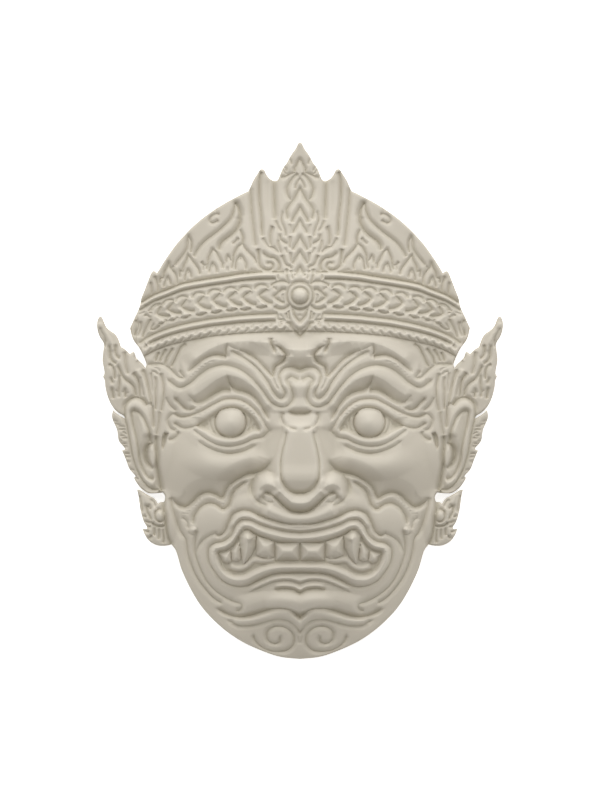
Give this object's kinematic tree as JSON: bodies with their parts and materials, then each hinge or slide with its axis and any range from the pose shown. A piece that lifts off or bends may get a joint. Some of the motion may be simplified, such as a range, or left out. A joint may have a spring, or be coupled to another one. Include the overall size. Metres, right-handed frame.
{
  "type": "thai khon mask",
  "caption": "Carved relief half mask of a giant in the Thai khon dance drama, with crown band, pointed finial, leaf-shaped ears and earrings, hollow behind.",
  "frame": {"origin": "middle of the bounding box, on the flat back", "axes": "+Z out of the face, +Y towards the crown, X across the mirror plane; the mask lies on its back"},
  "size_m": [0.2712, 0.3447, 0.0566],
  "materials": {
    "cast_resin": "unpainted cast resin, satin warm grey-beige, a little darker in the cuts"
  },
  "bodies": {
    "root": {"khon_mask": "cast_resin"}
  },
  "joints": []
}
